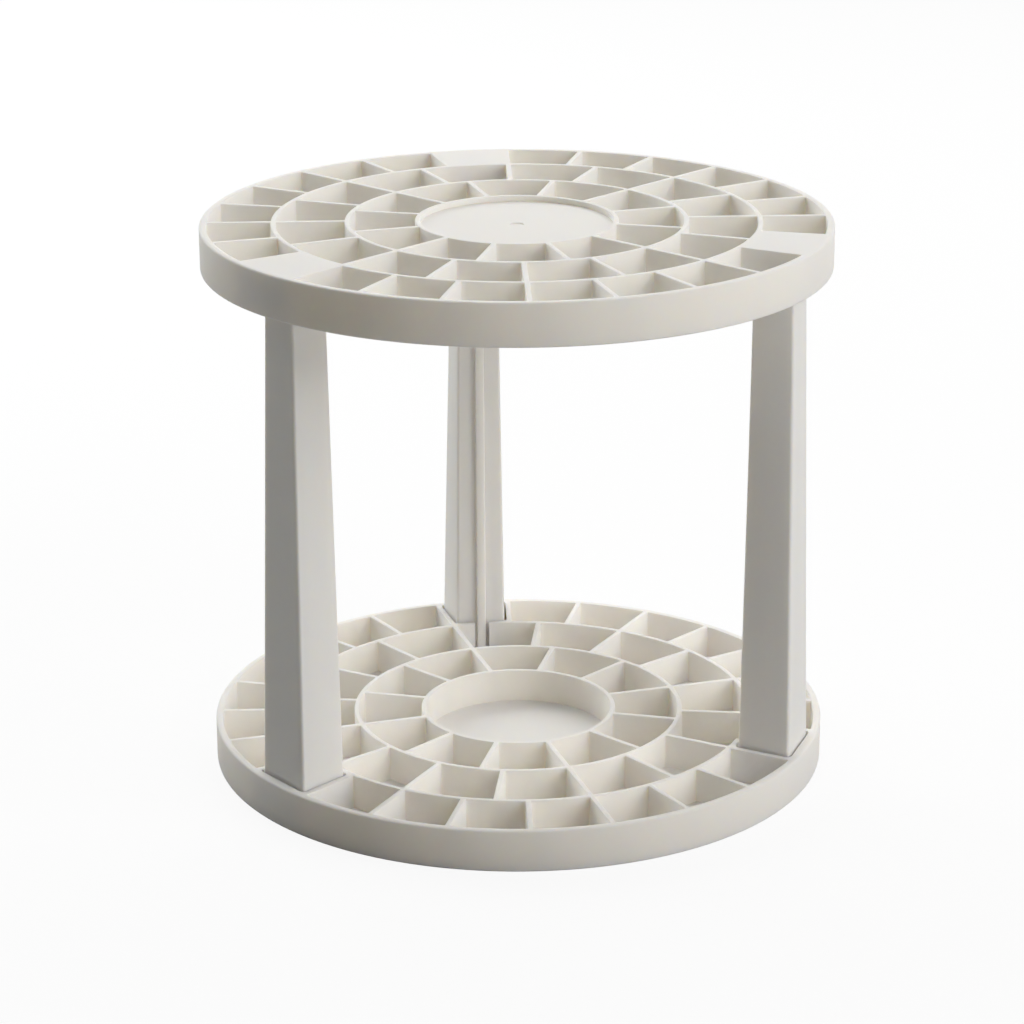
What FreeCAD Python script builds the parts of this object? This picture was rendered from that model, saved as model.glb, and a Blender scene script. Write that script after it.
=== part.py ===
import FreeCAD
import Part

import math
import os

# Round two-tier stand for brushes and small tools: a top plate of open cells, a base plate of pockets
# below it, and three hollow legs that plug into both plates.
# Millimetres and degrees. Origin at the centre of the underside, +Z up, back leg on +Y.

# Overall sizes
STAND_HEIGHT = 139.0
PLATE_DIAMETER = 155.0
PLATE_HEIGHT = 10.5

# Plate walls: thicknesses, and the mid radius of each round wall
RIM_WALL = 1.8
CELL_WALL = 1.2
CENTRE_WALL_RADIUS = 24.3
INNER_WALL_RADIUS = 41.5
OUTER_WALL_RADIUS = 59.5
RIM_EDGE_BREAK = 0.4

# Cells of the three rings, counting the leg cells of the outer ring
INNER_CELLS = 12
MIDDLE_CELLS = 16
OUTER_CELLS = 24

# Closed parts of the plates
BASE_FLOOR = 2.0
PAD_THICKNESS = 2.0
CENTRE_DISC_THICKNESS = 2.0
CENTRE_DISC_RECESS = 1.4
GATE_RADIUS = 1.2
GATE_DEPTH = 0.3

# Legs: how far each face draws in from foot to top, as a share of the foot's depth or width, then the
# splay of the two sides at the top as seen from above, the wall of the hollow and the rounding of the
# corners. At the foot the sides follow the walls of the leg's cell.
LEG_NAMES = ("back_leg", "left_leg", "right_leg")
BACK_LEG_ANGLE = 90.0
LEG_OUTER_TAPER = 0.205
LEG_INNER_TAPER = 0.088
LEG_SIDE_TAPER = 0.235
LEG_TOP_SPLAY = 1.5
LEG_WALL = 1.5
LEG_EDGE_RADIUS = 0.7

# Key: the rib down the inner face of a leg, whose foot drops into a slot in the base
KEY_WIDTH = 2.4
KEY_DEPTH = 1.2

# Clearances of the plug-in fits
SOCKET_GAP = 0.65
KEY_GAP = 0.8

# Values worked out from the sizes above
PLATE_RADIUS = PLATE_DIAMETER / 2
TOP_PLATE_UNDERSIDE = STAND_HEIGHT - PLATE_HEIGHT
LEG_FOOT_Z = BASE_FLOOR
LEG_TOP_Z = STAND_HEIGHT - PAD_THICKNESS
LEG_PITCH = 360.0 / len(LEG_NAMES)
LEG_CELL_HALF_ANGLE = 180.0 / OUTER_CELLS
BASE_TURN = -LEG_PITCH
KEY_TOP_Z = TOP_PLATE_UNDERSIDE - KEY_GAP
LEG_FOOT_OUTER_RADIUS = PLATE_RADIUS - RIM_WALL - SOCKET_GAP
LEG_FOOT_INNER_FACE = OUTER_WALL_RADIUS + CELL_WALL / 2 + SOCKET_GAP
LEG_FOOT_INNER_WIDTH = 2 * (
    LEG_FOOT_INNER_FACE * math.sin(math.radians(LEG_CELL_HALF_ANGLE)) - CELL_WALL / 2 - SOCKET_GAP
)
LEG_FOOT_DEPTH = LEG_FOOT_OUTER_RADIUS - LEG_FOOT_INNER_FACE
LEG_TOP_OUTER_RADIUS = LEG_FOOT_OUTER_RADIUS - LEG_OUTER_TAPER * LEG_FOOT_DEPTH
LEG_TOP_INNER_FACE = LEG_FOOT_INNER_FACE + LEG_INNER_TAPER * LEG_FOOT_DEPTH
LEG_TOP_INNER_WIDTH = LEG_FOOT_INNER_WIDTH * (1 - LEG_SIDE_TAPER)
LEG_FOOT_SPLAY = LEG_CELL_HALF_ANGLE

AXIS_BASE = FreeCAD.Vector(0, 0, 0)
AXIS_UP = FreeCAD.Vector(0, 0, 1)


def closed_face(points):
    """Flat face inside a closed outline of vectors."""
    return Part.Face(Part.makePolygon(points + [points[0]]))


def revolved(profile, angle=360.0):
    """Solid of revolution of a profile given as (radius, height) pairs, starting on the XZ plane."""
    face = closed_face([FreeCAD.Vector(radius, 0, height) for radius, height in profile])
    return face.revolve(AXIS_BASE, AXIS_UP, angle)


def turned(shape, angle):
    """Copy of a shape turned about the stand's axis."""
    copy = shape.copy()
    copy.rotate(AXIS_BASE, AXIS_UP, angle)
    return copy


def leg_angles():
    """Angle of each leg about the stand's axis, with its name."""
    return [(name, BACK_LEG_ANGLE + index * LEG_PITCH) for index, name in enumerate(LEG_NAMES)]


def rim_outline(low, top, inner_low):
    """Section of the rim from its foot round to its inner face, which ends at inner_low."""
    inner = PLATE_RADIUS - RIM_WALL
    return [
        (PLATE_RADIUS - RIM_EDGE_BREAK, low),
        (PLATE_RADIUS, low + RIM_EDGE_BREAK),
        (PLATE_RADIUS, top - RIM_EDGE_BREAK),
        (PLATE_RADIUS - RIM_EDGE_BREAK, top),
        (inner, top),
        (inner, inner_low),
    ]


def round_walls(low, top):
    """The three closed ring walls between the cells."""
    walls = []
    for middle in (CENTRE_WALL_RADIUS, INNER_WALL_RADIUS, OUTER_WALL_RADIUS):
        inner = middle - CELL_WALL / 2
        outer = middle + CELL_WALL / 2
        walls.append(revolved([(inner, low), (outer, low), (outer, top), (inner, top)]))
    return walls


def radial_wall(angle, inner, outer, low, top):
    """Straight wall between two round walls."""
    corner = FreeCAD.Vector(inner, -CELL_WALL / 2, low)
    return turned(Part.makeBox(outer - inner, CELL_WALL, top - low, corner), angle)


def radial_walls(turn, low, top):
    """Straight walls of the three rings, with the whole pattern turned about the axis."""
    rim_middle = PLATE_RADIUS - RIM_WALL / 2
    rings = (
        (INNER_CELLS, CENTRE_WALL_RADIUS, INNER_WALL_RADIUS, LEG_CELL_HALF_ANGLE),
        (MIDDLE_CELLS, INNER_WALL_RADIUS, OUTER_WALL_RADIUS, -LEG_CELL_HALF_ANGLE),
        (OUTER_CELLS, OUTER_WALL_RADIUS, rim_middle, LEG_CELL_HALF_ANGLE),
    )
    walls = []
    for cells, inner, outer, start in rings:
        for index in range(cells):
            angle = BACK_LEG_ANGLE + turn + start + index * 360.0 / cells
            walls.append(radial_wall(angle, inner, outer, low, top))
    return walls


def leg_blocks(low, top):
    """Filled cells of the outer ring, one for each leg."""
    rim_middle = PLATE_RADIUS - RIM_WALL / 2
    outline = [(OUTER_WALL_RADIUS, low), (rim_middle, low), (rim_middle, top), (OUTER_WALL_RADIUS, top)]
    block = revolved(outline, 2 * LEG_CELL_HALF_ANGLE)
    return [turned(block, angle - LEG_CELL_HALF_ANGLE) for _, angle in leg_angles()]


def along_leg(height, foot, top):
    """Size at a height of a leg that changes evenly from its foot to its top."""
    return foot + (top - foot) * (height - LEG_FOOT_Z) / (LEG_TOP_Z - LEG_FOOT_Z)


def leg_inner_face(height):
    """Distance of a leg's inner face from the stand's axis at a height."""
    return along_leg(height, LEG_FOOT_INNER_FACE, LEG_TOP_INNER_FACE)


def leg_section(height, level, grow):
    """Outline of a leg on +X at a height, grown on all sides and drawn at a level.

    The inner face is flat, the sides splay, the outer face is an arc about the stand's axis, and the
    corners are rounded.
    """
    inner = leg_inner_face(height)
    outer = along_leg(height, LEG_FOOT_OUTER_RADIUS, LEG_TOP_OUTER_RADIUS)
    half = along_leg(height, LEG_FOOT_INNER_WIDTH, LEG_TOP_INNER_WIDTH) / 2
    slope = math.tan(math.radians(along_leg(height, LEG_FOOT_SPLAY, LEG_TOP_SPLAY)))
    at_axis = half - slope * inner
    square = 1 + slope * slope
    corner = (math.sqrt(square * outer * outer - at_axis * at_axis) - slope * at_axis) / square
    corner_half = at_axis + slope * corner
    inner_left = FreeCAD.Vector(inner, half, level)
    inner_right = FreeCAD.Vector(inner, -half, level)
    outer_left = FreeCAD.Vector(corner, corner_half, level)
    outer_right = FreeCAD.Vector(corner, -corner_half, level)
    crown = FreeCAD.Vector(outer, 0, level)
    edges = [
        Part.makeLine(inner_left, inner_right),
        Part.makeLine(inner_right, outer_right),
        Part.Arc(outer_right, crown, outer_left).toShape(),
        Part.makeLine(outer_left, inner_left),
    ]
    core = Part.Wire(edges).makeOffset2D(-LEG_EDGE_RADIUS)
    return core.makeOffset2D(LEG_EDGE_RADIUS + grow)


def tapered_leg(low, high, grow):
    """Solid that follows the leg's taper between two heights."""
    return Part.makeLoft([leg_section(low, low, grow), leg_section(high, high, grow)], True, True)


def leg_pocket(widest, low, high):
    """Straight pocket on +X that clears the leg at its widest height in a plate."""
    return Part.Face(leg_section(widest, low, SOCKET_GAP)).extrude(FreeCAD.Vector(0, 0, high - low))


def key_slot(low, high):
    """Slot on +X through the outer round wall, from the leg's pocket into the cell beside it."""
    width = KEY_WIDTH + 2 * KEY_GAP
    inner = OUTER_WALL_RADIUS - CELL_WALL
    corner = FreeCAD.Vector(inner, -width / 2, low)
    return Part.makeBox(LEG_FOOT_INNER_FACE - inner, width, high - low, corner)


def key_section(height):
    """Outline of the key on +X at a height, rooted in the leg's wall."""
    tip = leg_inner_face(height) - KEY_DEPTH
    root = leg_inner_face(height) + LEG_WALL / 2
    half = KEY_WIDTH / 2
    corners = [(tip, -half), (root, -half), (root, half), (tip, half), (tip, -half)]
    return Part.makePolygon([FreeCAD.Vector(radius, across, height) for radius, across in corners])


def leg():
    """Hollow leg on +X, open at its foot, with the key on its inner face."""
    body = tapered_leg(LEG_FOOT_Z, LEG_TOP_Z, 0)
    key = Part.makeLoft([key_section(LEG_FOOT_Z), key_section(KEY_TOP_Z)], True, True)
    hollow = tapered_leg(LEG_FOOT_Z - LEG_WALL, LEG_TOP_Z - LEG_WALL, -LEG_WALL)
    return body.fuse(key).cut(hollow).removeSplitter()


def base_plate():
    """Base plate: floor and rim in one turned shape, cell walls, and a pocket and key slot for each leg."""
    cup = revolved([(0, 0)] + rim_outline(0, PLATE_HEIGHT, BASE_FLOOR) + [(0, BASE_FLOOR)])
    low = BASE_FLOOR / 2
    walls = round_walls(low, PLATE_HEIGHT)
    walls += radial_walls(BASE_TURN, low, PLATE_HEIGHT)
    walls += leg_blocks(low, PLATE_HEIGHT)
    above = PLATE_HEIGHT + SOCKET_GAP
    socket = leg_pocket(LEG_FOOT_Z, BASE_FLOOR, above).fuse(key_slot(BASE_FLOOR, above))
    plate = cup.fuse(walls).cut([turned(socket, angle) for _, angle in leg_angles()])
    return plate.removeSplitter()


def centre_disc(top):
    """Closed centre of the top plate: a disc set below the wall tops, with a gate mark in its middle."""
    disc_top = top - CENTRE_DISC_RECESS
    disc_low = disc_top - CENTRE_DISC_THICKNESS
    profile = [
        (0, disc_low),
        (CENTRE_WALL_RADIUS, disc_low),
        (CENTRE_WALL_RADIUS, disc_top),
        (GATE_RADIUS, disc_top),
        (0, disc_top - GATE_DEPTH),
    ]
    return revolved(profile)


def top_plate():
    """Top plate: open cells, a closed pad with a pocket under it at each leg, and the centre disc."""
    low = TOP_PLATE_UNDERSIDE
    rim = revolved(rim_outline(low, STAND_HEIGHT, low))
    walls = [centre_disc(STAND_HEIGHT)]
    walls += round_walls(low, STAND_HEIGHT)
    walls += radial_walls(0, low, STAND_HEIGHT)
    walls += leg_blocks(low, STAND_HEIGHT)
    pocket = leg_pocket(low, low - SOCKET_GAP, LEG_TOP_Z)
    plate = rim.fuse(walls).cut([turned(pocket, angle) for _, angle in leg_angles()])
    return plate.removeSplitter()


def save(name, shape):
    """Write one piece as a single solid."""
    solid = shape.Solids[0]
    print(name, len(shape.Solids), "solid", round(solid.Volume), "mm3", solid.isValid())
    solid.exportStep("parts/" + name + ".step")


os.makedirs("parts", exist_ok=True)
save("base_plate", base_plate())
save("top_plate", top_plate())
one_leg = leg()
for leg_name, leg_angle in leg_angles():
    save(leg_name, turned(one_leg, leg_angle))
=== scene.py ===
"""Round two-tier stand for brushes and small tools, moulded in ivory plastic.

Two plates of cells and three plug-in legs are modelled over the solid frame, dressed in satin plastic
and set on a pale studio floor. Lengths are in metres.
"""

import logging
import math
from dataclasses import dataclass
from enum import Enum
from typing import Callable

import bmesh
import bpy
from mathutils import Matrix, Vector


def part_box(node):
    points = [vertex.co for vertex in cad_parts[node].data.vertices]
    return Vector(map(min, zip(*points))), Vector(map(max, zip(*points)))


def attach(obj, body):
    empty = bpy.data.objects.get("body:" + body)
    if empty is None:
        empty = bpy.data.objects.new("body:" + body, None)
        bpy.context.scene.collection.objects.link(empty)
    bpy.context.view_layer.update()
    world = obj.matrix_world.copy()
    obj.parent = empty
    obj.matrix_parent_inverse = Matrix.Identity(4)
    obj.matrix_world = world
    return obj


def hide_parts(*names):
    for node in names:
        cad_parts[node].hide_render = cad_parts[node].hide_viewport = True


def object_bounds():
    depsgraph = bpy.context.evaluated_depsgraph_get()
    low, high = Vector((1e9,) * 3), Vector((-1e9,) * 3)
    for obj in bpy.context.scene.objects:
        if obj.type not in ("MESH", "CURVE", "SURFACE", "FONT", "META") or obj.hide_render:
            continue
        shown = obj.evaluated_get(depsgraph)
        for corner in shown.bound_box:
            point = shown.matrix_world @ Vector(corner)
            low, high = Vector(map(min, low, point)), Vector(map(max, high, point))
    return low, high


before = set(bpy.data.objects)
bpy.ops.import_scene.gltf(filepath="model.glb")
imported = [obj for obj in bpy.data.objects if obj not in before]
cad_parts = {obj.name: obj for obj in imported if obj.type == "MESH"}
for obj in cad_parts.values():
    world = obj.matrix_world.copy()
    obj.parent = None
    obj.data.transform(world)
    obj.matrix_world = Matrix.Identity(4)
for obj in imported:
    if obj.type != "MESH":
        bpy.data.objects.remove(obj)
CAD_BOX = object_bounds()

MM = 0.001
NEAR = 0.02 * MM
FACING = 0.9
SHARP_ANGLE = math.radians(45.0)
SMOOTH_ANGLE = math.radians(30.0)
WHITE = (1.0, 1.0, 1.0, 1.0)
LOG = logging.getLogger("stand")

Colour = tuple[float, float, float, float]
Tint = tuple[float, float, float]
FaceTest = Callable[[bmesh.types.BMFace], bool]
EdgeTest = Callable[[bmesh.types.BMEdge], bool]


class PlateKind(Enum):
    """The two plates of the stand."""

    BASE = "base_plate"
    TOP = "top_plate"


class LegPlace(Enum):
    """The three legs, with the angle of each about the stand's axis in degrees."""

    BACK = ("back_leg", 90.0)
    LEFT = ("left_leg", 210.0)
    RIGHT = ("right_leg", 330.0)

    @property
    def node(self) -> str:
        """Name of the leg's node and body."""
        return self.value[0]

    @property
    def angle(self) -> float:
        """Angle of the leg in degrees."""
        return self.value[1]


def activate(piece: bpy.types.Object) -> None:
    """Make one object the only selected and active one.

    Args:
        piece: the object to work on.
    """
    bpy.ops.object.select_all(action="DESELECT")
    piece.select_set(True)
    bpy.context.view_layer.objects.active = piece


def clear_selection() -> None:
    """Leave object mode with nothing selected, ready for a new primitive."""
    if bpy.context.object and bpy.context.object.mode == "EDIT":
        bpy.ops.object.mode_set(mode="OBJECT")
    bpy.ops.object.select_all(action="DESELECT")


def open_for_shaping(piece: bpy.types.Object) -> None:
    """Put a new primitive's place into its mesh and open it in edit mode.

    Args:
        piece: the primitive.
    """
    activate(piece)
    bpy.ops.object.transform_apply(location=True, rotation=True, scale=True)
    bpy.ops.object.mode_set(mode="EDIT")


def unit_cube() -> bpy.types.Object:
    """Add a cube one metre wide about the origin and open it in edit mode.

    Returns:
        The cube.
    """
    clear_selection()
    bpy.ops.mesh.primitive_cube_add(size=1.0)
    cube = bpy.context.object
    open_for_shaping(cube)
    return cube


def duplicate(piece: bpy.types.Object) -> bpy.types.Object:
    """Copy an object and its mesh.

    Args:
        piece: the object to copy.

    Returns:
        The copy, linked to the scene.
    """
    copy = piece.copy()
    copy.data = piece.data.copy()
    bpy.context.scene.collection.objects.link(copy)
    return copy


def turn_to(piece: bpy.types.Object, place: LegPlace) -> None:
    """Turn a mesh modelled on +X about the stand's axis to a leg's place.

    Args:
        piece: the object whose mesh is turned.
        place: where it goes.
    """
    piece.data.transform(Matrix.Rotation(math.radians(place.angle), 4, "Z"))


def pick_faces(piece: bpy.types.Object, test: FaceTest) -> None:
    """Select the faces of the open piece that pass a test.

    Args:
        piece: the piece in edit mode.
        test: says whether a face is wanted.
    """
    bpy.ops.mesh.select_mode(type="FACE")
    bpy.ops.mesh.select_all(action="DESELECT")
    mesh = bmesh.from_edit_mesh(piece.data)
    for face in filter(test, mesh.faces):
        face.select_set(True)
    bmesh.update_edit_mesh(piece.data)


def pick_edges(piece: bpy.types.Object, test: EdgeTest) -> None:
    """Select the edges of the open piece that pass a test.

    Args:
        piece: the piece in edit mode.
        test: says whether an edge is wanted.
    """
    bpy.ops.mesh.select_mode(type="EDGE")
    bpy.ops.mesh.select_all(action="DESELECT")
    mesh = bmesh.from_edit_mesh(piece.data)
    for edge in filter(test, mesh.edges):
        edge.select_set(True)
    bmesh.update_edit_mesh(piece.data)


def is_sharp(edge: bmesh.types.BMEdge) -> bool:
    """True where two faces meet at a clear angle."""
    return len(edge.link_faces) == 2 and edge.calc_face_angle() > SHARP_ANGLE


def at_height(edge: bmesh.types.BMEdge, height: float) -> bool:
    """True where both ends of an edge lie at a height."""
    return all(abs(vert.co.z - height) < NEAR for vert in edge.verts)


def plan_radius(point: Vector) -> float:
    """Distance of a point from the stand's axis."""
    return math.hypot(point.x, point.y)


def plan_angle(point: Vector) -> float:
    """Angle of a point about the stand's axis, in degrees."""
    return math.degrees(math.atan2(point.y, point.x))


def angle_between(first: float, second: float) -> float:
    """Unsigned difference of two angles in degrees."""
    return abs((first - second + 180.0) % 360.0 - 180.0)


def round_off(width: float, segments: int) -> None:
    """Round the selected edges of the open piece.

    Args:
        width: how far the rounding reaches from the edge.
        segments: number of strips across it.
    """
    bpy.ops.mesh.bevel(offset=width, offset_type="OFFSET", segments=segments, profile=0.5, affect="EDGES")


def shade(piece: bpy.types.Object) -> None:
    """Shade a piece smooth, apart from its clear edges.

    Args:
        piece: the piece in object mode.
    """
    activate(piece)
    bpy.ops.object.shade_smooth_by_angle(angle=SMOOTH_ANGLE)


def close_shaping(piece: bpy.types.Object, name: str) -> None:
    """Merge doubles, turn the faces outwards, leave edit mode and shade the piece.

    Args:
        piece: the piece in edit mode.
        name: its final name.
    """
    bpy.ops.mesh.select_mode(type="VERT")
    bpy.ops.mesh.select_all(action="SELECT")
    bpy.ops.mesh.remove_doubles(threshold=NEAR / 10)
    bpy.ops.mesh.normals_make_consistent(inside=False)
    bpy.ops.object.mode_set(mode="OBJECT")
    piece.name = name
    piece.data.name = name
    shade(piece)


def cut_away(piece: bpy.types.Object, cutter: bpy.types.Object) -> None:
    """Cut one closed piece out of another and delete the cutter.

    Args:
        piece: the piece that is cut.
        cutter: the closed piece to take away.
    """
    activate(piece)
    cut = piece.modifiers.new("socket", "BOOLEAN")
    cut.operation = "DIFFERENCE"
    cut.solver = "EXACT"
    cut.object = cutter
    bpy.ops.object.modifier_apply(modifier=cut.name)
    bpy.data.objects.remove(cutter, do_unlink=True)


@dataclass(frozen=True)
class SatinPlastic:
    """Satin injection-moulded plastic with faint clouding and a fine moulded grain."""

    name: str = "ivory_satin_plastic"
    body_colour: Colour = (0.93, 0.90, 0.86, 1.0)
    cloud_colour: Colour = (0.91, 0.878, 0.835, 1.0)
    cloud_scale: float = 38.0
    cloud_detail: float = 5.0
    grain_scale: float = 1600.0
    grain_detail: float = 3.0
    grain_depth: float = 0.04 * MM
    grain_strength: float = 0.35
    roughness_low: float = 0.62
    roughness_high: float = 0.72
    gloss: float = 0.2
    glow_through: float = 0.6
    glow_reach: float = 2.0 * MM
    glow_tint: Tint = (1.0, 0.85, 0.6)

    def make(self) -> bpy.types.Material:
        """Build the node material.

        Returns:
            The finished material.
        """
        material = bpy.data.materials.new(self.name)
        material.use_nodes = True
        nodes = material.node_tree.nodes
        links = material.node_tree.links
        shader = nodes["Principled BSDF"]
        shader.inputs["Specular IOR Level"].default_value = self.gloss
        shader.inputs["Subsurface Weight"].default_value = self.glow_through
        shader.inputs["Subsurface Scale"].default_value = self.glow_reach
        shader.inputs["Subsurface Radius"].default_value = self.glow_tint
        place = nodes.new("ShaderNodeTexCoord")

        cloud = nodes.new("ShaderNodeTexNoise")
        cloud.inputs["Scale"].default_value = self.cloud_scale
        cloud.inputs["Detail"].default_value = self.cloud_detail
        links.new(place.outputs["Object"], cloud.inputs["Vector"])

        tint = nodes.new("ShaderNodeMix")
        tint.data_type = "RGBA"
        tint.inputs["A"].default_value = self.body_colour
        tint.inputs["B"].default_value = self.cloud_colour
        links.new(cloud.outputs["Fac"], tint.inputs["Factor"])
        links.new(tint.outputs["Result"], shader.inputs["Base Color"])

        sheen = nodes.new("ShaderNodeMapRange")
        sheen.inputs["To Min"].default_value = self.roughness_low
        sheen.inputs["To Max"].default_value = self.roughness_high
        links.new(cloud.outputs["Fac"], sheen.inputs["Value"])
        links.new(sheen.outputs["Result"], shader.inputs["Roughness"])

        grain = nodes.new("ShaderNodeTexNoise")
        grain.inputs["Scale"].default_value = self.grain_scale
        grain.inputs["Detail"].default_value = self.grain_detail
        links.new(place.outputs["Object"], grain.inputs["Vector"])
        bump = nodes.new("ShaderNodeBump")
        bump.inputs["Strength"].default_value = self.grain_strength
        bump.inputs["Distance"].default_value = self.grain_depth
        links.new(grain.outputs["Fac"], bump.inputs["Height"])
        links.new(bump.outputs["Normal"], shader.inputs["Normal"])
        return material


@dataclass
class StandLeg:
    """Hollow tapered leg with a key rib down its inner face, modelled on +X and copied to each place."""

    foot: float
    head: float
    key_top: float
    foot_outer: float = 75.05 * MM
    foot_inner: float = 60.75 * MM
    foot_inner_width: float = 13.35 * MM
    head_outer: float = 72.12 * MM
    head_inner: float = 62.01 * MM
    head_inner_width: float = 10.21 * MM
    foot_splay: float = 7.5
    head_splay: float = 1.5
    crown_cuts: int = 9
    corner_round: float = 0.7 * MM
    corner_steps: int = 4
    wall: float = 1.5 * MM
    key_width: float = 2.4 * MM
    key_depth: float = 1.2 * MM
    key_round: float = 0.3 * MM
    key_steps: int = 2
    socket_gap: float = 0.65 * MM
    key_gap: float = 0.8 * MM

    def inner_at(self, height: float) -> float:
        """Distance of the inner face from the axis at a height."""
        share = (height - self.foot) / (self.head - self.foot)
        return self.foot_inner + share * (self.head_inner - self.foot_inner)

    @staticmethod
    def outer_width(inner: float, inner_width: float, outer: float, splay: float) -> float:
        """Width of the leg at its outer corners.

        Args:
            inner: distance of the inner face from the axis.
            inner_width: width of the inner face.
            outer: radius of the outer face.
            splay: angle of each side in degrees.

        Returns:
            The width where the splayed sides meet the outer face.
        """
        return inner_width + 2 * (outer - inner) * math.tan(math.radians(splay))

    @property
    def foot_width(self) -> float:
        """Width of the foot at its outer corners."""
        return self.outer_width(self.foot_inner, self.foot_inner_width, self.foot_outer, self.foot_splay)

    @property
    def head_width(self) -> float:
        """Width of the head at its outer corners."""
        return self.outer_width(self.head_inner, self.head_inner_width, self.head_outer, self.head_splay)

    def shape_taper(self, piece: bpy.types.Object) -> None:
        """Pull the edges of a unit cube out to the leg's foot and head outlines.

        Args:
            piece: the unit cube in edit mode.
        """
        levels = (
            (-0.5, self.foot, self.foot_inner, self.foot_inner_width, self.foot_outer, self.foot_width),
            (0.5, self.head, self.head_inner, self.head_inner_width, self.head_outer, self.head_width),
        )
        for level, height, inner, inner_width, outer, outer_width in levels:
            for side, distance, width in ((-0.5, inner, inner_width), (0.5, outer, outer_width)):

                def at_corner(edge: bmesh.types.BMEdge) -> bool:
                    return all(math.hypot(v.co.x - side, v.co.z - level) < NEAR for v in edge.verts)

                pick_edges(piece, at_corner)
                bpy.ops.transform.resize(value=(1.0, width, 1.0))
                bpy.ops.transform.translate(value=(distance - side, 0.0, height - level))

    def crown_outer_face(self, piece: bpy.types.Object) -> None:
        """Divide the outer face and lay it on arcs about the stand's axis.

        Args:
            piece: the tapered leg in edit mode.
        """
        middle = (self.head_outer + self.head_inner) / 2
        for height in (self.foot, self.head):

            def outer_edge(edge: bmesh.types.BMEdge) -> bool:
                return at_height(edge, height) and min(v.co.x for v in edge.verts) > middle

            pick_edges(piece, outer_edge)
            bpy.ops.mesh.subdivide(number_cuts=self.crown_cuts)
        mesh = bmesh.from_edit_mesh(piece.data)
        for vert in mesh.verts:
            if vert.co.x > middle:
                low = abs(vert.co.z - self.foot) < NEAR
                radius = self.foot_outer if low else self.head_outer
                vert.co.x = math.sqrt(radius ** 2 - vert.co.y ** 2)
        bmesh.update_edit_mesh(piece.data)

    def round_corners(self, piece: bpy.types.Object) -> None:
        """Round the four long corners of the leg.

        Args:
            piece: the crowned leg in edit mode.
        """

        def long_corner(edge: bmesh.types.BMEdge) -> bool:
            low, high = sorted(vert.co.z for vert in edge.verts)
            return is_sharp(edge) and high - low > self.wall

        pick_edges(piece, long_corner)
        round_off(self.corner_round, self.corner_steps)

    def solid(self) -> bpy.types.Object:
        """Model the outside of the leg on +X.

        Returns:
            The closed leg, not yet hollow.
        """
        piece = unit_cube()
        self.shape_taper(piece)
        self.crown_outer_face(piece)
        self.round_corners(piece)
        close_shaping(piece, "leg_blank")
        return piece

    def draw_key(self, piece: bpy.types.Object) -> None:
        """Cut a strip in the inner face, pull it out into the key rib and round the rib's edges.

        Args:
            piece: the closed leg.
        """
        activate(piece)
        bpy.ops.object.mode_set(mode="EDIT")
        half = self.key_width / 2

        def inner_face(face: bmesh.types.BMFace) -> bool:
            return face.normal.x < -FACING

        def strip(face: bmesh.types.BMFace) -> bool:
            centre = face.calc_center_median()
            return inner_face(face) and abs(centre.y) < half / 2 and centre.z < self.key_top

        for side in (-half, half):
            pick_faces(piece, inner_face)
            bpy.ops.mesh.bisect(plane_co=(0.0, side, 0.0), plane_no=(0.0, 1.0, 0.0))
        pick_faces(piece, strip)
        bpy.ops.mesh.bisect(plane_co=(0.0, 0.0, self.key_top), plane_no=(0.0, 0.0, 1.0))
        pick_faces(piece, strip)
        bpy.ops.mesh.extrude_region_move()
        bpy.ops.transform.translate(value=(-self.key_depth, 0.0, 0.0))

        def tip_edge(edge: bmesh.types.BMEdge) -> bool:
            proud = all(vert.co.x < self.inner_at(vert.co.z) - self.key_depth / 2 for vert in edge.verts)
            return proud and not at_height(edge, self.foot)

        pick_edges(piece, tip_edge)
        round_off(self.key_round, self.key_steps)
        close_shaping(piece, piece.name)

    def hollow(self, piece: bpy.types.Object) -> None:
        """Open the leg at its foot and draw the hollow up to its closed head.

        Args:
            piece: the closed leg.
        """
        activate(piece)
        bpy.ops.object.mode_set(mode="EDIT")

        def sole(face: bmesh.types.BMFace) -> bool:
            return face.normal.z < -FACING and max(v.co.x for v in face.verts) > self.foot_inner + self.wall

        pick_faces(piece, sole)
        bpy.ops.mesh.inset(thickness=self.wall)
        bpy.ops.mesh.extrude_region_move()
        across = (self.head_width - 2 * self.wall) / (self.foot_width - 2 * self.wall)
        deep = (self.head_outer - self.head_inner - 2 * self.wall) / (
            self.foot_outer - self.foot_inner - 2 * self.wall
        )
        shift = (self.head_outer + self.head_inner - self.foot_outer - self.foot_inner) / 2
        bpy.ops.transform.resize(value=(deep, across, 1.0))
        bpy.ops.transform.translate(value=(shift, 0.0, self.head - self.wall - self.foot))
        close_shaping(piece, piece.name)

    def socket_cutter(
        self, blank: bpy.types.Object, place: LegPlace, cut_at: float, above: bool
    ) -> bpy.types.Object:
        """Copy of the leg, fattened by the clearance, that cuts a socket in a plate.

        Args:
            blank: the closed leg on +X.
            place: where the socket goes.
            cut_at: height of the socket's closed end.
            above: True if the cutter is kept above that height.

        Returns:
            The cutter, in place.
        """
        cutter = duplicate(blank)
        activate(cutter)
        bpy.ops.object.mode_set(mode="EDIT")
        bpy.ops.mesh.select_all(action="SELECT")
        bpy.ops.transform.shrink_fatten(value=self.socket_gap, use_even_offset=True)
        bpy.ops.mesh.bisect(
            plane_co=(0.0, 0.0, cut_at),
            plane_no=(0.0, 0.0, 1.0),
            use_fill=True,
            clear_inner=above,
            clear_outer=not above,
        )
        bpy.ops.mesh.select_all(action="SELECT")
        bpy.ops.mesh.normals_make_consistent(inside=False)
        bpy.ops.object.mode_set(mode="OBJECT")
        turn_to(cutter, place)
        return cutter

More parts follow.
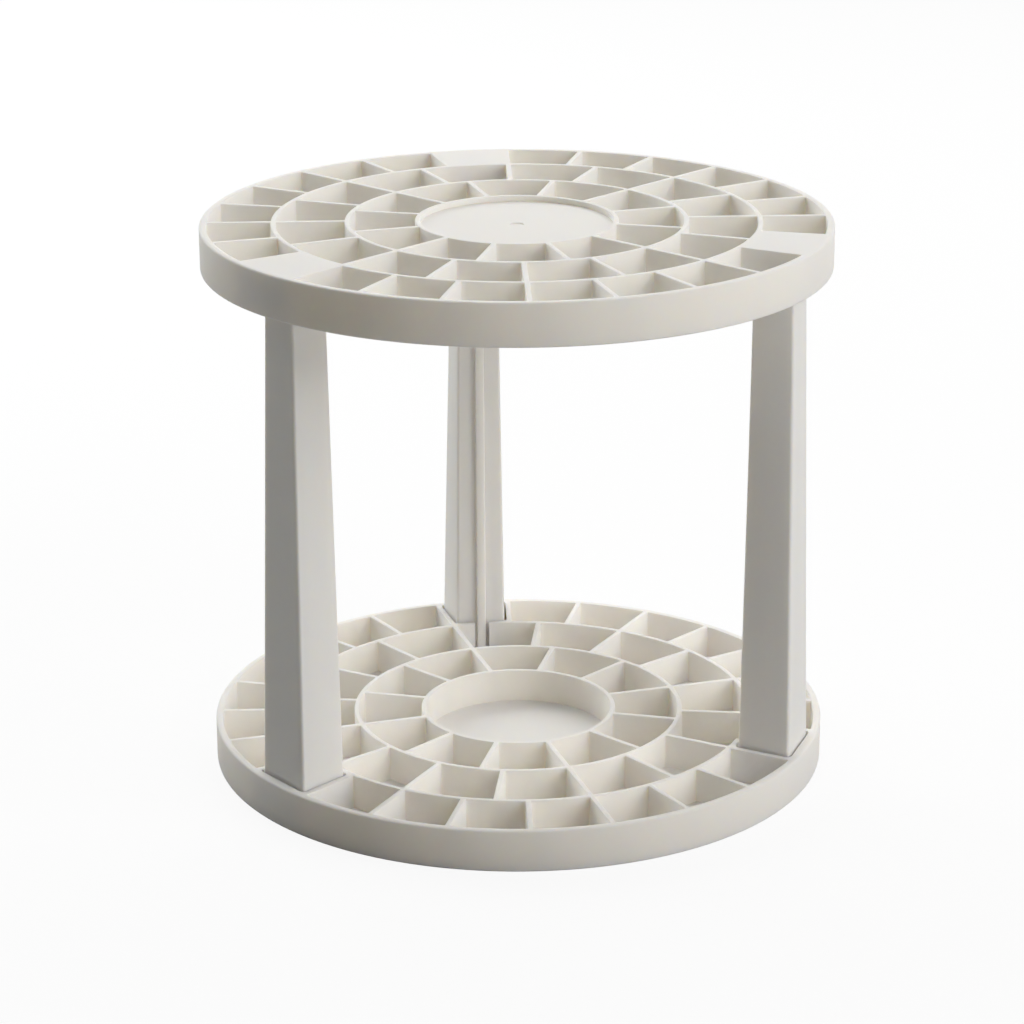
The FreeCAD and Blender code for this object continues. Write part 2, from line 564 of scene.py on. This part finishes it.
    def slot_cutter(self, place: LegPlace, inner: float, top: float) -> bpy.types.Object:
        """Block that cuts the key's slot through the round wall in front of a leg.

        Args:
            place: where the slot goes.
            inner: distance from the axis at which the slot ends.
            top: height of its open end.

        Returns:
            The cutter, in place.
        """
        cutter = unit_cube()
        bpy.ops.mesh.select_all(action="SELECT")
        width = self.key_width + 2 * self.key_gap
        bpy.ops.transform.resize(value=(self.foot_inner - inner, width, top - self.foot))
        bpy.ops.transform.translate(value=((self.foot_inner + inner) / 2, 0.0, (top + self.foot) / 2))
        bpy.ops.object.mode_set(mode="OBJECT")
        turn_to(cutter, place)
        return cutter

    def copy_to(self, pattern: bpy.types.Object, place: LegPlace) -> bpy.types.Object:
        """Copy the finished leg to one of its places.

        Args:
            pattern: the finished leg on +X.
            place: where the copy goes.

        Returns:
            The copy, with its place in its mesh.
        """
        copy = duplicate(pattern)
        copy.name = place.node + "_moulding"
        copy.data.name = copy.name
        turn_to(copy, place)
        return copy


@dataclass(frozen=True)
class CellRing:
    """One ring of cells between two round walls; start is the angle of its first wall in degrees."""

    cells: int
    inner: float
    outer: float
    start: float
    slack: float = 0.1

    def has_wall_at(self, angle: float) -> bool:
        """True if a radial wall of the ring stands at an angle in degrees."""
        pitch = 360.0 / self.cells
        offset = (angle - self.start) % pitch
        return min(offset, pitch - offset) < self.slack


@dataclass
class CellPlate:
    """Round plate of cells: the open top plate, or the base plate with its pockets."""

    kind: PlateKind
    radius: float
    low: float
    top: float
    turn: float = 0.0
    segments: int = 192
    rim_wall: float = 1.8 * MM
    cell_wall: float = 1.2 * MM
    centre_wall: float = 24.3 * MM
    inner_wall: float = 41.5 * MM
    outer_wall: float = 59.5 * MM
    inner_cells: int = 12
    middle_cells: int = 16
    outer_cells: int = 24
    floor: float = 2.0 * MM
    draft: float = 1.0
    pad_slack: float = 1.0
    mouth_round: float = 0.25 * MM
    mouth_steps: int = 2
    corner_round: float = 0.4 * MM
    corner_steps: int = 2
    rim_round: float = 0.5 * MM
    rim_steps: int = 3
    disc_recess: float = 1.4 * MM
    disc_thickness: float = 2.0 * MM
    gate_radius: float = 1.2 * MM
    gate_depth: float = 0.3 * MM

    @property
    def half_cell(self) -> float:
        """Half the pitch of the outer ring, in degrees."""
        return 180.0 / self.outer_cells

    @property
    def rings(self) -> tuple[CellRing, CellRing, CellRing]:
        """The three rings, from the centre outwards."""
        first = LegPlace.BACK.angle + self.turn
        rim_line = self.radius - self.rim_wall + self.cell_wall / 2
        return (
            CellRing(self.inner_cells, self.centre_wall, self.inner_wall, first + self.half_cell),
            CellRing(self.middle_cells, self.inner_wall, self.outer_wall, first - self.half_cell),
            CellRing(self.outer_cells, self.outer_wall, rim_line, first + self.half_cell),
        )

    def draft_over(self, depth: float) -> float:
        """How far a drafted wall leans over a depth."""
        return depth * math.tan(math.radians(self.draft))

    def is_pad(self, face: bmesh.types.BMFace) -> bool:
        """True for the face of an outer cell that a leg takes."""
        centre = face.calc_center_median()
        outer = plan_radius(centre) > self.outer_wall
        angle = plan_angle(centre)
        return outer and any(angle_between(angle, leg.angle) < self.pad_slack for leg in LegPlace)

    def lay_out(self) -> bpy.types.Object:
        """Inset a disc into rim, rings and centre, and merge the rings into cells.

        Returns:
            The flat sheet of cells, in edit mode.
        """
        clear_selection()
        bpy.ops.mesh.primitive_circle_add(
            vertices=self.segments, radius=self.radius, fill_type="NGON", location=(0.0, 0.0, self.top)
        )
        piece = bpy.context.object
        open_for_shaping(piece)
        bpy.ops.mesh.select_mode(type="FACE")
        bpy.ops.mesh.select_all(action="SELECT")
        lines = [self.radius] + [ring.outer for ring in reversed(self.rings)] + [self.centre_wall]
        for outer, inner in zip(lines, lines[1:]):
            bpy.ops.mesh.inset(thickness=outer - inner)

        def between_walls(edge: bmesh.types.BMEdge) -> bool:
            first, second = (plan_radius(vert.co) for vert in edge.verts)
            middle = (edge.verts[0].co + edge.verts[1].co) / 2
            rings = [ring for ring in self.rings if ring.inner < plan_radius(middle) < ring.outer]
            across = abs(first - second) > self.rim_wall
            return across and bool(rings) and not rings[0].has_wall_at(plan_angle(middle))

        pick_edges(piece, between_walls)
        bpy.ops.mesh.dissolve_edges(use_verts=False)
        return piece

    def is_open(self, face: bmesh.types.BMFace) -> bool:
        """True for the face of a cell on the flat sheet; the top plate's centre stays closed."""
        if len(face.verts) == 4 or self.is_pad(face):
            return False
        return self.kind is PlateKind.BASE or plan_radius(face.calc_center_median()) > self.centre_wall / 2

    def sink_cells(self, piece: bpy.types.Object, depth: float) -> None:
        """Sink the base plate's pockets with drafted walls, drop its rim and close its underside.

        Args:
            piece: the sheet of cells in edit mode.
            depth: how deep the pockets go.
        """
        pick_faces(piece, self.is_open)
        bpy.ops.mesh.inset(thickness=self.cell_wall / 2, use_individual=True)
        bpy.ops.mesh.inset(thickness=self.draft_over(depth), depth=-depth, use_individual=True)
        pick_edges(piece, lambda edge: edge.is_boundary)
        bpy.ops.mesh.extrude_edges_move(TRANSFORM_OT_translate={"value": (0.0, 0.0, self.low - self.top)})
        bpy.ops.mesh.edge_face_add()

    def pierce_cells(self, piece: bpy.types.Object) -> None:
        """Cut the top plate's cells out of the sheet and thicken it down to the plate's underside.

        Args:
            piece: the sheet of cells in edit mode.
        """
        pick_faces(piece, self.is_open)
        bpy.ops.mesh.inset(thickness=self.cell_wall / 2, use_individual=True)
        bpy.ops.mesh.delete(type="ONLY_FACE")
        bpy.ops.mesh.select_all(action="SELECT")
        bpy.ops.mesh.extrude_region_move()
        bpy.ops.transform.translate(value=(0.0, 0.0, self.low - self.top))
        bpy.ops.mesh.select_all(action="SELECT")
        bpy.ops.mesh.normals_make_consistent(inside=False)

    def shape_centre(self, piece: bpy.types.Object) -> None:
        """Recess the top plate's centre disc, press in its gate mark and hollow it out below.

        Args:
            piece: the pierced plate in edit mode.
        """
        pick_faces(piece, lambda face: len(face.verts) == self.segments and face.normal.z > FACING)
        bpy.ops.mesh.inset(thickness=self.cell_wall / 2)
        bpy.ops.mesh.inset(thickness=self.draft_over(self.disc_recess), depth=-self.disc_recess)
        bpy.ops.mesh.inset(thickness=self.centre_wall - self.cell_wall - self.gate_radius)
        bpy.ops.mesh.inset(thickness=self.gate_depth / 2, depth=-self.gate_depth)
        hollow = self.top - self.low - self.disc_recess - self.disc_thickness
        pick_faces(piece, lambda face: len(face.verts) == self.segments and face.normal.z < -FACING)
        bpy.ops.mesh.inset(thickness=self.cell_wall / 2)
        bpy.ops.mesh.inset(thickness=self.draft_over(hollow), depth=-hollow)

    def round_corners(self, piece: bpy.types.Object) -> None:
        """Round the upright corners inside the cells.

        Args:
            piece: the closed plate in edit mode.
        """
        depth = (self.top - self.low) / 2

        def inside_corner(edge: bmesh.types.BMEdge) -> bool:
            drop = abs(edge.verts[0].co.z - edge.verts[1].co.z)
            return is_sharp(edge) and drop > depth

        pick_edges(piece, inside_corner)
        round_off(self.corner_round, self.corner_steps)

    def soften_edges(self, piece: bpy.types.Object) -> None:
        """Round the rim's edges and the mouths of the cells.

        Args:
            piece: the closed plate in edit mode.
        """
        rim = self.radius - self.rim_wall / 2

        def rim_edge(edge: bmesh.types.BMEdge) -> bool:
            level = at_height(edge, self.top) or at_height(edge, self.low)
            return level and is_sharp(edge) and plan_radius(edge.verts[0].co) > rim

        def mouth(edge: bmesh.types.BMEdge) -> bool:
            return is_sharp(edge) and at_height(edge, self.top) and plan_radius(edge.verts[0].co) < rim

        pick_edges(piece, rim_edge)
        round_off(self.rim_round, self.rim_steps)
        pick_edges(piece, mouth)
        round_off(self.mouth_round, self.mouth_steps)

    def build(self, leg: StandLeg, blank: bpy.types.Object) -> bpy.types.Object:
        """Model the plate and cut its leg sockets.

        Args:
            leg: the leg's sizes.
            blank: the closed leg that cuts the sockets.

        Returns:
            The finished plate.
        """
        base = self.kind is PlateKind.BASE
        piece = self.lay_out()
        if base:
            self.sink_cells(piece, self.top - self.low - self.floor)
        else:
            self.pierce_cells(piece)
            self.shape_centre(piece)
        self.round_corners(piece)
        self.soften_edges(piece)
        close_shaping(piece, self.kind.value + "_moulding")
        socket_end = leg.foot if base else leg.head
        slot_end = self.outer_wall - self.cell_wall
        for place in LegPlace:
            cut_away(piece, leg.socket_cutter(blank, place, socket_end, above=base))
            if base:
                cut_away(piece, leg.slot_cutter(place, slot_end, self.top + leg.key_gap))
        shade(piece)
        return piece


@dataclass(frozen=True)
class SoftLamp:
    """Square lamp, with its heading about the stand's axis and its rise above the floor in degrees."""

    name: str
    heading: float
    rise: float
    watts: float
    tint: Tint = (1.0, 1.0, 1.0)
    size: float = 1.1
    distance: float = 1.3

    def hang(self) -> None:
        """Hang the lamp so that it points at the middle of the stand."""
        data = bpy.data.lights.new(self.name, "AREA")
        data.shape = "SQUARE"
        data.size = self.size
        data.energy = self.watts
        data.color = self.tint
        lamp = bpy.data.objects.new(self.name, data)
        bpy.context.scene.collection.objects.link(lamp)
        turn = Matrix.Rotation(math.radians(self.heading), 4, "Z")
        lift = Matrix.Rotation(math.radians(-self.rise), 4, "Y")
        away = turn @ lift @ Vector((self.distance, 0.0, 0.0))
        lamp.location = away + Vector((0.0, 0.0, CAD_BOX[1][2] / 2))
        lamp.rotation_euler = (-away).to_track_quat("-Z", "Y").to_euler()


@dataclass
class Studio:
    """Pale floor, soft light and a camera at the photograph's angle."""

    camera_place: tuple[float, float, float] = (-0.12838, -0.75393, 0.32847)
    camera_heading: float = -9.556
    camera_pitch: float = 19.138
    camera_roll: float = -0.213
    camera_lens: float = 112.83
    camera_sensor: float = 36.0
    camera_near: float = 10.0 * MM
    floor_size: float = 12.0
    floor_glow: float = 0.9
    floor_bounce: Colour = (0.5, 0.49, 0.47, 1.0)
    world_fill: Colour = (1.0, 0.98, 0.95, 1.0)
    world_strength: float = 0.035
    lamps: tuple[SoftLamp, ...] = (
        SoftLamp("key_lamp", heading=318.0, rise=24.0, watts=11.4),
        SoftLamp("left_back_lamp", heading=125.0, rise=27.0, watts=12.9, tint=(0.98, 1.0, 1.0)),
        SoftLamp("right_back_lamp", heading=60.0, rise=50.0, watts=7.3),
    )

    @staticmethod
    def plain_rays(nodes: bpy.types.Nodes, links: bpy.types.NodeLinks) -> bpy.types.NodeSocket:
        """Add the test for rays that see the backdrop plainly: from the camera, a gloss or a clear piece.

        Args:
            nodes: the node tree's nodes.
            links: its links.

        Returns:
            The socket that is 1 for such rays and 0 for the rest.
        """
        rays = nodes.new("ShaderNodeLightPath")
        total = rays.outputs["Is Camera Ray"]
        for kind in ("Is Glossy Ray", "Is Transmission Ray"):
            either = nodes.new("ShaderNodeMath")
            either.operation = "MAXIMUM"
            links.new(total, either.inputs[0])
            links.new(rays.outputs[kind], either.inputs[1])
            total = either.outputs[0]
        return total

    def set_camera(self) -> None:
        """Create the camera and make it the scene's own."""
        data = bpy.data.cameras.new("photo_camera")
        data.lens = self.camera_lens
        data.sensor_width = self.camera_sensor
        data.sensor_fit = "HORIZONTAL"
        data.clip_start = self.camera_near
        camera = bpy.data.objects.new("photo_camera", data)
        bpy.context.scene.collection.objects.link(camera)
        turn = Matrix.Rotation(math.radians(self.camera_heading), 4, "Z")
        tilt = Matrix.Rotation(math.radians(90.0 - self.camera_pitch), 4, "X")
        roll = Matrix.Rotation(math.radians(self.camera_roll), 4, "Z")
        camera.matrix_world = Matrix.Translation(Vector(self.camera_place)) @ turn @ tilt @ roll
        bpy.context.scene.camera = camera

    def lay_floor(self) -> None:
        """Lay the pale floor under the stand."""
        clear_selection()
        bpy.ops.mesh.primitive_plane_add(size=self.floor_size, location=(0.0, 0.0, 0.0))
        floor = bpy.context.object
        floor.name = "studio_floor"
        material = bpy.data.materials.new("studio_floor_white")
        material.use_nodes = True
        nodes = material.node_tree.nodes
        links = material.node_tree.links
        nodes.remove(nodes["Principled BSDF"])
        seen = self.plain_rays(nodes, links)
        paint = nodes.new("ShaderNodeMix")
        paint.data_type = "RGBA"
        paint.inputs["A"].default_value = self.floor_bounce
        paint.inputs["B"].default_value = WHITE
        matt = nodes.new("ShaderNodeBsdfDiffuse")
        glow = nodes.new("ShaderNodeEmission")
        glow.inputs["Color"].default_value = WHITE
        share = nodes.new("ShaderNodeMath")
        share.operation = "MULTIPLY"
        share.inputs[1].default_value = self.floor_glow
        blend = nodes.new("ShaderNodeMixShader")
        links.new(seen, paint.inputs["Factor"])
        links.new(paint.outputs["Result"], matt.inputs["Color"])
        links.new(seen, share.inputs[0])
        links.new(share.outputs[0], blend.inputs["Fac"])
        links.new(matt.outputs["BSDF"], blend.inputs[1])
        links.new(glow.outputs["Emission"], blend.inputs[2])
        links.new(blend.outputs["Shader"], nodes["Material Output"].inputs["Surface"])
        floor.data.materials.append(material)

    def light_world(self) -> None:
        """White surroundings for the camera, softer light for the object."""
        world = bpy.data.worlds.new("studio_world")
        world.use_nodes = True
        nodes = world.node_tree.nodes
        links = world.node_tree.links
        nodes.clear()
        white = nodes.new("ShaderNodeBackground")
        white.inputs["Color"].default_value = WHITE
        white.inputs["Strength"].default_value = 1.0
        fill = nodes.new("ShaderNodeBackground")
        fill.inputs["Color"].default_value = self.world_fill
        fill.inputs["Strength"].default_value = self.world_strength
        blend = nodes.new("ShaderNodeMixShader")
        output = nodes.new("ShaderNodeOutputWorld")
        links.new(self.plain_rays(nodes, links), blend.inputs["Fac"])
        links.new(fill.outputs["Background"], blend.inputs[1])
        links.new(white.outputs["Background"], blend.inputs[2])
        links.new(blend.outputs["Shader"], output.inputs["Surface"])
        bpy.context.scene.world = world

    def build(self) -> None:
        """Set the camera, the floor, the surroundings and the lamps."""
        bpy.context.scene.view_settings.view_transform = "Standard"
        self.set_camera()
        self.lay_floor()
        self.light_world()
        for lamp in self.lamps:
            lamp.hang()


def dress(piece: bpy.types.Object, body: str, plastic: bpy.types.Material) -> None:
    """Give a piece its plastic, let it ride on its body and stand for that body's node.

    Args:
        piece: the finished piece.
        body: the body's name, which is also the node's.
        plastic: the material.
    """
    piece.data.materials.clear()
    piece.data.materials.append(plastic)
    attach(piece, body)
    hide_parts(body)
    LOG.info("%s: %d faces on %s", piece.name, len(piece.data.polygons), body)


def main() -> None:
    """Build the stand piece by piece, then the studio."""
    logging.basicConfig(level=logging.INFO, format="%(name)s %(message)s")
    plastic = SatinPlastic().make()
    base_low, base_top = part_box(PlateKind.BASE.value)
    top_low, top_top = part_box(PlateKind.TOP.value)
    leg_low, leg_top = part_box(LegPlace.BACK.node)

    leg = StandLeg(foot=leg_low.z, head=leg_top.z, key_top=top_low.z - StandLeg.key_gap)
    blank = leg.solid()
    one_leg_back = LegPlace.BACK.angle - LegPlace.LEFT.angle
    plates = (
        CellPlate(PlateKind.BASE, base_top.x, base_low.z, base_top.z, turn=one_leg_back),
        CellPlate(PlateKind.TOP, top_top.x, top_low.z, top_top.z),
    )
    for plate in plates:
        dress(plate.build(leg, blank), plate.kind.value, plastic)
    leg.draw_key(blank)
    leg.hollow(blank)
    for place in LegPlace:
        dress(leg.copy_to(blank, place), place.node, plastic)
    bpy.data.objects.remove(blank, do_unlink=True)

    Studio().build()


if __name__ == "__main__":
    main()
